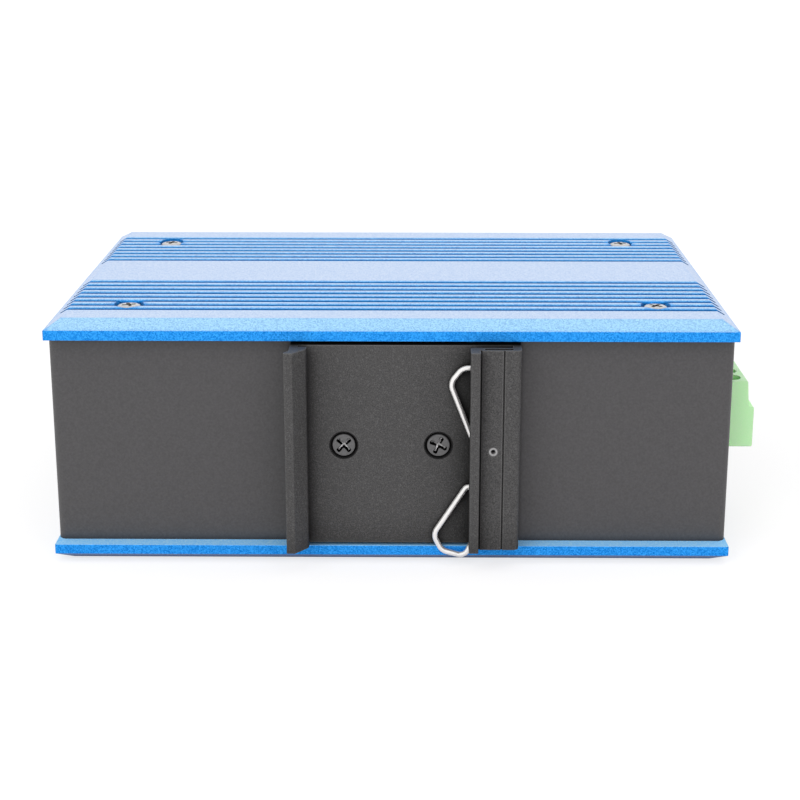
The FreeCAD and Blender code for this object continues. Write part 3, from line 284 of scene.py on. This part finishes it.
def blue_body(material, normal, spots, groove, inner):
    """Rough metal and dye in blue, with painted shade darkening the grooves and painted light making the
    inner face paler.
    """
    dyed = blend_colours(material, spots, *DYE_COLOURS)
    # Painted shade: where ambient occlusion finds grooves and corners, the colour darkens towards the
    # groove colour.
    depth = ramp(material, groove, 1.0, 0.0, 0.50, 1.0)
    shaded = blend_colours(material, depth, dyed, GROOVE_SHADE_COLOUR)
    # Painted light: the inner face takes a paler blue, standing in for light that the ledge doesn't get.
    lit_ledge = blend_colours(material, spots, *LEDGE_LIT_COLOURS)
    colour = blend_colours(material, inner, shaded, lit_ledge)
    inputs = {
        "Base Color": colour,
        "Metallic": 1.0,
        "Roughness": ramp(material, noise(material, CLOUD_SIZE), 0.40, 0.48),
        "Normal": normal,
    }
    metal = shader(material, "BsdfPrincipled", inputs)
    dye = shader(material, "BsdfDiffuse", {"Color": colour, "Normal": normal})
    return layer(material, calculate(material, "MAXIMUM", inner, DYE_SHARE), metal, dye)


def blasted_blue():
    """Sandblasted aluminium, anodised blue: a blue body under two pale, rough sheens of the oxide."""
    material, output = new_material("blasted_blue")
    grain = noise(material, BLAST_GRAIN, detail=3.0)
    spots = speckle(material, SPOT_SIZE)
    groove = openness(material, GROOVE_SHADE_REACH, own=True)
    inner = inner_face(material)
    normal = bump(material, grain, BLAST_DEPTH, 0.6, rounded_edges(material, BLAST_EDGE))

    # The cyan sheen grows first as a level or sloped face turns away, the lilac one later on any face.
    facing = add(material, "LayerWeight", {"Blend": 0.5, "Normal": normal}).outputs["Facing"]
    upward = component(material, add(material, "NewGeometry").outputs["True Normal"], "Z")
    level = ramp(material, calculate(material, "ABSOLUTE", upward), 0.0, 1.0, 0.15, 0.60)
    steep = calculate(material, "MULTIPLY", ramp(material, facing, 0.0, CYAN_SHARE, 0.06, 0.28), level)
    grazing = ramp(material, facing, 0.0, LILAC_SHARE, 0.28, 0.78)

    # Both vary from grain to grain, are weakened in grooves as painted shade, are weaker on fins, and miss
    # the inner face.
    glitter = ramp(material, spots, 0.76, 1.24, 0.0, 1.0)
    unshaded = ramp(material, groove, 0.0, 1.0, 0.65, 1.0)
    fins = ramp(material, openness(material, FIN_REACH, own=True, inside=True), 0.42, 1.0, 0.55, 0.95)
    outer = calculate(material, "SUBTRACT", 1.0, inner)
    surface = blue_body(material, normal, spots, groove, inner)
    for share, tint in ((steep, CYAN_SHEEN), (grazing, LILAC_SHEEN)):
        for factor in (glitter, unshaded, fins, outer):
            share = calculate(material, "MULTIPLY", share, factor)
        inputs = {"Color": tint, "Roughness": SHEEN_ROUGHNESS, "Normal": normal}
        surface = layer(material, share, surface, shader(material, "BsdfGlossy", inputs))

    # Painted shade: faces that look downwards turn to a dull, dark blue-grey.
    underside_shade = shader(material, "BsdfDiffuse", {"Color": UNDERSIDE_SHADE_COLOUR, "Normal": normal})
    underside_share = ramp(material, upward, UNDERSIDE_SHADE_SHARE, 0.0, -0.5, -0.2)
    return finish_with(material, output, layer(material, underside_share, surface, underside_shade))


def scaled(colour, factor):
    return [min(1.0, channel * factor) for channel in colour]


def satin(name, colour, roughness, grain_size, grain_depth, metallic=0.0, spread=0.15,
          hollow=0.006, deep=0.45, painted_glints=0.0, edge_highlight=0.0, shine=0.5):
    """A grained surface, darker in hollows by painted shade, and brighter on some grains by painted glints
    and along edges by painted highlights.
    """
    material, output = new_material(name)
    grain = noise(material, grain_size, detail=3.0)
    normal = bump(material, grain, grain_depth, 0.6, rounded_edges(material, SATIN_EDGE))
    dark, light = scaled(colour, 1 - spread), scaled(colour, 1 + spread)
    grained = blend_colours(material, ramp(material, grain, 0.0, 1.0), dark, light)
    # Painted glints: some grains are lifted to a brighter copy of the colour.
    if painted_glints:
        spots = ramp(material, speckle(material, grain_size), 0.0, 1.0, 0.72, 1.0)
        grained = blend_colours(material, spots, grained, scaled(colour, 1 + painted_glints))
    # Painted highlight: a band along edges is lifted to a brighter copy of the colour.
    if edge_highlight:
        flat = add(material, "NewGeometry").outputs["Normal"]
        inputs = {0: rounded_edges(material, EDGE_HIGHLIGHT_WIDTH), 1: flat}
        turned = add(material, "VectorMath", inputs, operation="DOT_PRODUCT").outputs["Value"]
        edges = ramp(material, turned, 1.0, 0.0, 0.78, 0.98)
        grained = blend_colours(material, edges, grained, scaled(colour, 1 + edge_highlight))
    cloud = noise(material, SATIN_CLOUD)
    inputs = {
        "Base Color": grained,
        "Metallic": metallic,
        "Specular IOR Level": shine,
        "Roughness": ramp(material, cloud, roughness - 0.04, roughness + 0.04),
        "Normal": normal,
    }
    body = shader(material, "BsdfPrincipled", inputs)
    # Painted shade: in hollows the surface turns to a darker diffuse copy of its colour.
    shadow = shader(material, "BsdfDiffuse", {"Color": (*scaled(colour, deep), 1.0), "Normal": normal})
    closed = ramp(material, openness(material, hollow), 0.9, 0.0, 0.3, 0.95)
    return finish_with(material, output, layer(material, closed, body, shadow))


def jack_housing():
    """A bright stamped shell over the front of a black moulded housing."""
    material, output = new_material("jack_shell")
    grain = noise(material, 0.0002)
    wear = noise(material, 0.004)
    shell = {
        "Base Color": blend_colours(material, wear, (0.62, 0.61, 0.59), (0.74, 0.73, 0.71)),
        "Metallic": 1.0,
        "Roughness": ramp(material, wear, 0.24, 0.34),
        "Normal": bump(material, grain, 0.000004, 0.4, rounded_edges(material, 0.00012)),
    }
    moulding = {
        "Base Color": blend_colours(material, grain, (0.014, 0.014, 0.014), (0.026, 0.026, 0.026)),
        "Roughness": 0.42,
        "Normal": bump(material, grain, 0.00002, 0.4),
    }
    depth = component(material, place_of(material), "Y")
    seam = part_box("rj45_jack_1")[1][1] - SHELL_THICKNESS
    front = calculate(material, "GREATER_THAN", depth, seam)
    inner, outer = (shader(material, "BsdfPrincipled", inputs) for inputs in (moulding, shell))
    return finish_with(material, output, layer(material, front, inner, outer))


def drawn_wire():
    """Bright spring steel, with faint lines left by the drawing die."""
    material, output = new_material("drawn_wire")
    lines = noise(material, 0.00015, stretch=(1.0, 1.0, 0.12))
    inputs = {
        "Base Color": blend_colours(material, lines, (0.90, 0.89, 0.87), (1.0, 0.99, 0.97)),
        "Metallic": 0.7,
        "Roughness": ramp(material, lines, 0.10, 0.20),
        "Normal": bump(material, lines, 0.00002, 0.4),
    }
    return finish_with(material, output, shader(material, "BsdfPrincipled", inputs))


def moulded_green():
    """Bright green moulding that lets a little light through."""
    material, output = new_material("moulded_green")
    grain = noise(material, 0.0004)
    inputs = {
        "Base Color": blend_colours(material, grain, (0.50, 1.0, 0.45), (0.62, 1.0, 0.55)),
        "Roughness": ramp(material, noise(material, 0.01), 0.30, 0.42),
        "IOR": 1.65,
        "Subsurface Weight": 0.25,
        "Subsurface Radius": (0.6, 1.0, 0.4),
        "Subsurface Scale": 0.002,
        "Normal": bump(material, grain, 0.00003, 0.3, rounded_edges(material, 0.0003)),
    }
    return finish_with(material, output, shader(material, "BsdfPrincipled", inputs))


def clear_moulding():
    """Clear plastic, with faint streaks drawn out along Y."""
    material, output = new_material("clear_moulding")
    streaks = noise(material, 0.002, stretch=(1.0, 0.3, 1.0))
    inputs = {
        "Base Color": blend_colours(material, streaks, (0.80, 0.84, 0.86), (0.92, 0.94, 0.95)),
        "Roughness": ramp(material, streaks, 0.10, 0.20),
        "Transmission Weight": 0.7,
        "IOR": 1.49,
    }
    return finish_with(material, output, shader(material, "BsdfPrincipled", inputs))


def board_laminate():
    """Green solder mask, with copper under it in faint lines."""
    material, output = new_material("board_laminate")
    inputs = {"Vector": place_of(material), "Scale": 120.0, "Distortion": 6.0}
    wave = add(material, "TexWave", inputs).outputs["Fac"]
    inputs = {
        "Base Color": blend_colours(material, wave, (0.01, 0.12, 0.05), (0.02, 0.20, 0.09)),
        "Roughness": ramp(material, noise(material, 0.003), 0.28, 0.40),
        "Normal": bump(material, wave, 0.00003, 0.3),
    }
    return finish_with(material, output, shader(material, "BsdfPrincipled", inputs))


# Colour, roughness, grain size and grain depth, then what differs from satin's defaults
SATINS = {
    "black_sheet": ((0.062, 0.061, 0.062), 0.42, 0.0004, 0.00001, {"hollow": 0.0014, "edge_highlight": 0.7}),
    "black_anodised": (
        (0.056, 0.056, 0.055), 0.50, 0.00022, 0.00005,
        {"spread": 0.5, "hollow": 0.014, "deep": 0.1, "painted_glints": 0.7, "edge_highlight": 1.6, "shine": 0.35},
    ),
    "plain_screw": ((0.62, 0.61, 0.61), 0.24, 0.0003, 0.00003, {"metallic": 1.0}),
    "black_screw": ((0.13, 0.13, 0.13), 0.30, 0.0003, 0.00004, {"metallic": 0.6}),
    "black_pin": (
        (0.38, 0.38, 0.38), 0.30, 0.0003, 0.00003, {"metallic": 0.8, "hollow": 0.001, "deep": 0.9},
    ),
    "plated_steel": ((0.60, 0.60, 0.59), 0.32, 0.0004, 0.00002, {"metallic": 1.0}),
    "brass": ((0.72, 0.50, 0.20), 0.26, 0.0004, 0.00002, {"metallic": 1.0}),
    "gold_contact": ((0.85, 0.60, 0.22), 0.18, 0.0004, 0.00001, {"metallic": 1.0}),
    "tin_pin": ((0.70, 0.70, 0.68), 0.30, 0.0004, 0.00002, {"metallic": 1.0}),
    "black_moulding": ((0.022, 0.022, 0.022), 0.48, 0.0003, 0.00005, {}),
    "lamp_body": ((0.78, 0.78, 0.72), 0.30, 0.0004, 0.00002, {}),
    "soft_pad": ((0.30, 0.33, 0.37), 0.70, 0.0006, 0.00006, {}),
    "plain_aluminium": ((0.70, 0.71, 0.72), 0.34, 0.0004, 0.00003, {"metallic": 1.0}),
    "ferrite": ((0.05, 0.05, 0.055), 0.62, 0.0005, 0.00008, {"spread": 0.3}),
    "can_sleeve": ((0.02, 0.02, 0.04), 0.28, 0.0005, 0.00001, {}),
    # Painted shade: the recess finishes, darker than their screws
    "black_recess_shade": ((0.004, 0.004, 0.004), 0.30, 0.0003, 0.00002, {"shine": 0.08}),
    "plain_recess_shade": ((0.20, 0.19, 0.18), 0.30, 0.0003, 0.00002, {"metallic": 1.0}),
    "worn_recess": ((0.95, 0.95, 0.94), 0.22, 0.0003, 0.00002, {"metallic": 0.6, "hollow": 0.0003}),
}

FINISHES = {name: satin(name, *values, **others) for name, (*values, others) in SATINS.items()}
FINISHES["blue_anodised"] = blasted_blue()
FINISHES["spring_wire"] = drawn_wire()
FINISHES["board_laminate"] = board_laminate()
FINISHES["jack_shell"] = jack_housing()
FINISHES["green_moulding"] = moulded_green()
FINISHES["light_pipe"] = clear_moulding()

# The finish of the recess walls, by the screw's own, darker than the screw as painted shade
RECESSES = {"black_screw": "black_recess_shade", "plain_screw": "plain_recess_shade"}


def dress_nodes():
    """Gives each solid the finish of its material slot."""
    for subpart in frame["record"]["subparts"]:
        for slot in frame["nodes"][subpart["node"]].material_slots:
            slot.link = "OBJECT"
            slot.material = FINISHES[subpart["material_slot"]]


# ---------------------------------------------------------------------- screws

def cross_outline(reach, tip_half, root_half, corner):
    """A cross driver recess at one depth: four arms with rounded tips and inner corners."""
    quarter = (
        (reach - tip_half * 0.4, -tip_half),
        (reach, -tip_half * 0.5),
        (reach, tip_half * 0.5),
        (reach - tip_half * 0.4, tip_half),
        (root_half + corner, root_half),
        (root_half, root_half + corner),
    )
    points = []
    for turns in range(4):
        for x, y in quarter:
            for _ in range(turns):
                x, y = -y, x
            points.append((x, y))
    return points


def circle_points(radius):
    steps = [2 * math.pi * k / SCREW_SIDES for k in range(SCREW_SIDES)]
    return [(radius * math.cos(step), radius * math.sin(step)) for step in steps]


def ring_of(mesh, points, height):
    return [mesh.verts.new((x, y, height)) for x, y in points]


def join_rings(mesh, upper, lower, *slots):
    """Faces between two rings of as many points; the slots are their materials, in turn."""
    for k, point in enumerate(upper):
        after = (k + 1) % len(upper)
        face = mesh.faces.new((point, lower[k], lower[after], upper[after]))
        face.material_index = slots[k % len(slots)]


def close_ring(mesh, ring, height, slot, inward):
    """A fan of faces from a ring to a point on the axis."""
    middle = mesh.verts.new((0.0, 0.0, height))
    for k, point in enumerate(ring):
        after = ring[(k + 1) % len(ring)]
        face = mesh.faces.new((middle, after, point) if inward else (middle, point, after))
        face.material_index = slot


def cut_recess(mesh, recess):
    """The walls and the bottom of a tapered cross recess; gives the ring at its mouth."""
    reach, tip_half, root_half, depth = recess
    rings = []
    for level, reach_share, tip_share, root_share in RECESS_LEVELS:
        corner = root_half * 0.6 * root_share
        arms = (reach * reach_share, tip_half * tip_share, root_half * root_share)
        outline = cross_outline(*arms, corner)
        rings.append(ring_of(mesh, outline, level * depth))
    join_rings(mesh, rings[0], rings[1], WALL_SHADE_SLOT)
    join_rings(mesh, rings[1], rings[2], *ARM_SLOTS)
    close_ring(mesh, rings[2], -depth, WORN_SLOT, inward=False)
    return rings[0]


def fill_between(mesh, *rings):
    """Nearly level faces between the outlines of two rings."""
    rims = []
    for ring in rings:
        for k, point in enumerate(ring):
            after = ring[(k + 1) % len(ring)]
            rims.append(mesh.edges.get((point, after)) or mesh.edges.new((point, after)))
    bmesh.ops.triangle_fill(mesh, use_beauty=True, edges=rims, normal=(0.0, 0.0, 1.0))


def add_screw(mesh, matrix, profile, crown, recess, shade_lining=None):
    """A screw along local Z with its head top at zero; the profile runs down from the crown's edge."""
    fresh = bmesh.new()
    mouth = cut_recess(fresh, recess)
    last = ring_of(fresh, circle_points(crown[0]), crown[1])
    fill_between(fresh, mouth, last)
    for radius, height in profile:
        ring = ring_of(fresh, circle_points(radius), height)
        join_rings(fresh, last, ring, HEAD_SLOT)
        last = ring
    close_ring(fresh, last, profile[-1][1], HEAD_SLOT, inward=True)
    if shade_lining:
        lips = [ring_of(fresh, circle_points(radius), height) for radius, height in shade_lining]
        for inner, outer in zip(lips, lips[1:]):
            join_rings(fresh, outer, inner, WALL_SHADE_SLOT)
    bmesh.ops.recalc_face_normals(fresh, faces=fresh.faces)
    fresh.transform(matrix)
    scratch = bpy.data.meshes.new("scratch")
    fresh.to_mesh(scratch)
    fresh.free()
    mesh.from_mesh(scratch)
    bpy.data.meshes.remove(scratch)


def threads(top, bottom):
    """A shank's outline from top to bottom, with a ridge each pitch and a tapered end."""
    outline = [(SHANK_RADIUS, top)]
    valley = SHANK_RADIUS - THREAD_DEPTH
    height = top - THREAD_PITCH
    while height > bottom + THREAD_PITCH:
        outline.append((valley, height + THREAD_PITCH * 0.25))
        outline.append((SHANK_RADIUS, height - THREAD_PITCH * 0.25))
        height -= THREAD_PITCH
    return outline + [(valley, bottom + THREAD_DEPTH), (SHANK_RADIUS - 2 * THREAD_DEPTH, bottom)]


def make_screws(name, node, slot, places, profile, crown, recess, shade_lining=None):
    """One piece with a screw at each place, which stands for a CAD node of screws."""
    mesh = bmesh.new()
    for matrix in places:
        add_screw(mesh, matrix, profile, crown, recess, shade_lining)
    data = bpy.data.meshes.new(name)
    mesh.to_mesh(data)
    mesh.free()
    data.shade_smooth()
    data.set_sharp_from_angle(angle=math.radians(SMOOTH_ANGLE))
    for finish in (slot, RECESSES[slot], "worn_recess"):
        data.materials.append(FINISHES[finish])
    piece = bpy.data.objects.new(name, data)
    bpy.context.collection.objects.link(piece)
    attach(piece, "root")
    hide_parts(node)


def screw_place(x, y, z, axis, turned):
    """The place of a screw whose local Z looks along an axis, turned about it by some degrees."""
    facing = Vector(axis).to_track_quat("Z", "Y").to_matrix().to_4x4()
    return Matrix.Translation((x, y, z)) @ facing @ Matrix.Rotation(math.radians(turned), 4, "Z")


def make_clip_screws():
    """Countersunk heads, with a near-black lining ring in the clip's countersinks round them as painted
    shade.
    """
    low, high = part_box("clip_screws")
    middle_z = (low[2] + high[2]) / 2
    spots = zip((low[0] + CLIP_HEAD, high[0] - CLIP_HEAD), CLIP_TURNS)
    places = [screw_place(x, low[1], middle_z, (0, -1, 0), turned) for x, turned in spots]
    profile = [*CLIP_CONE, *threads(CLIP_THREAD_TOP, low[1] - high[1])]
    make_screws(
        "clip_screw_heads", "clip_screws", "black_screw",
        places, profile, CLIP_CROWN, CLIP_RECESS, CLIP_SHADE_LINING,
    )


def make_cover_screws(node, axis_z, turns):
    """Pan heads: a rounded crown, a side, and a threaded shank."""
    low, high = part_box(node)
    top = high[2] if axis_z > 0 else low[2]
    spots = []
    for y in (low[1] + COVER_HEAD, high[1] - COVER_HEAD):
        for x in (low[0] + COVER_HEAD, high[0] - COVER_HEAD):
            spots.append((x, y))
    places = [screw_place(x, y, top, (0, 0, axis_z), turned) for (x, y), turned in zip(spots, turns)]
    profile = [*COVER_SIDE, *threads(COVER_THREAD_TOP, low[2] - high[2])]
    make_screws(
        node.replace("screws", "screw_heads"), node, "plain_screw",
        places, profile, COVER_CROWN, COVER_RECESS,
    )


# ---------------------------------------------------------------------- studio

def floor_material():
    """White paper, lifted to pure white for the camera away from the object, a little in reflections."""
    material, output = new_material("studio_floor")
    paper = shader(material, "BsdfDiffuse", {"Color": PAPER})
    white = shader(material, "Emission", {"Color": WHITE, "Strength": FLOOR_WHITE})
    rays = add(material, "LightPath").outputs
    away = add(material, "VectorMath", {0: place_of(material)}, operation="LENGTH").outputs["Value"]
    lifted = ramp(material, away, FLOOR_SEEN, 1.0, FLOOR_NEAR, FLOOR_FAR)
    seen = calculate(material, "MULTIPLY", rays["Is Camera Ray"], lifted)
    mirrored = calculate(material, "MAXIMUM", rays["Is Glossy Ray"], rays["Is Transmission Ray"])
    mirrored = calculate(material, "MULTIPLY", mirrored, FLOOR_MIRRORED)
    share = calculate(material, "MAXIMUM", seen, mirrored)
    return finish_with(material, output, layer(material, share, paper, white))


def make_floor():
    half = FLOOR_SIZE / 2
    corners = [(x, y, -FLOOR_GAP) for x, y in ((-half, -half), (half, -half), (half, half), (-half, half))]
    mesh = bpy.data.meshes.new("studio_floor")
    mesh.from_pydata(corners, [], [(0, 1, 2, 3)])
    floor = bpy.data.objects.new("studio_floor", mesh)
    bpy.context.collection.objects.link(floor)
    mesh.materials.append(floor_material())


def make_world():
    """White behind the object and in its reflections, and a softer fill for diffuse light."""
    world = bpy.data.worlds.new("studio")
    bpy.context.scene.world = world
    world.use_nodes = True
    world.node_tree.nodes.clear()
    rays = add(world, "LightPath").outputs
    seen = rays["Is Camera Ray"]
    for kind in ("Is Glossy Ray", "Is Transmission Ray"):
        seen = calculate(world, "MAXIMUM", seen, rays[kind])
    fill = shader(world, "Background", {"Color": WHITE, "Strength": WORLD_FILL})
    white = shader(world, "Background", {"Color": WHITE, "Strength": 1.0})
    finish_with(world, add(world, "OutputWorld"), layer(world, seen, fill, white))


def make_lamps():
    """Square soft boxes that look at the middle of the object, and don't show in its gloss."""
    target = (CAD_BOX[0] + CAD_BOX[1]) / 2
    for name, place, size, power, colour in LAMPS:
        lamp = bpy.data.lights.new(name, "AREA")
        lamp.shape = "SQUARE"
        lamp.size = size
        lamp.energy = power
        lamp.color = colour
        light = bpy.data.objects.new(name, lamp)
        light.location = place
        light.rotation_euler = (target - Vector(place)).to_track_quat("-Z", "Y").to_euler()
        light.visible_camera = False
        light.visible_glossy = False
        bpy.context.collection.objects.link(light)


def make_camera():
    lens = bpy.data.cameras.new("camera")
    lens.lens = CAMERA_LENS
    lens.shift_y = CAMERA_SHIFT
    lens.clip_start = 0.01
    camera = bpy.data.objects.new("camera", lens)
    near_rim = min(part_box(cover)[0][1] for cover in COVERS)
    camera.location = (CAMERA_SIDE, near_rim - CAMERA_DISTANCE, CAMERA_HEIGHT)
    camera.rotation_euler = (math.radians(90 - CAMERA_PITCH), 0.0, math.radians(CAMERA_YAW))
    bpy.context.collection.objects.link(camera)
    bpy.context.scene.camera = camera


dress_nodes()
make_clip_screws()
make_cover_screws("cover_screws_upper", 1, COVER_TURNS)
make_cover_screws("cover_screws_lower", -1, COVER_TURNS[::-1])
make_floor()
make_world()
make_lamps()
make_camera()
bpy.context.scene.view_settings.view_transform = "Standard"
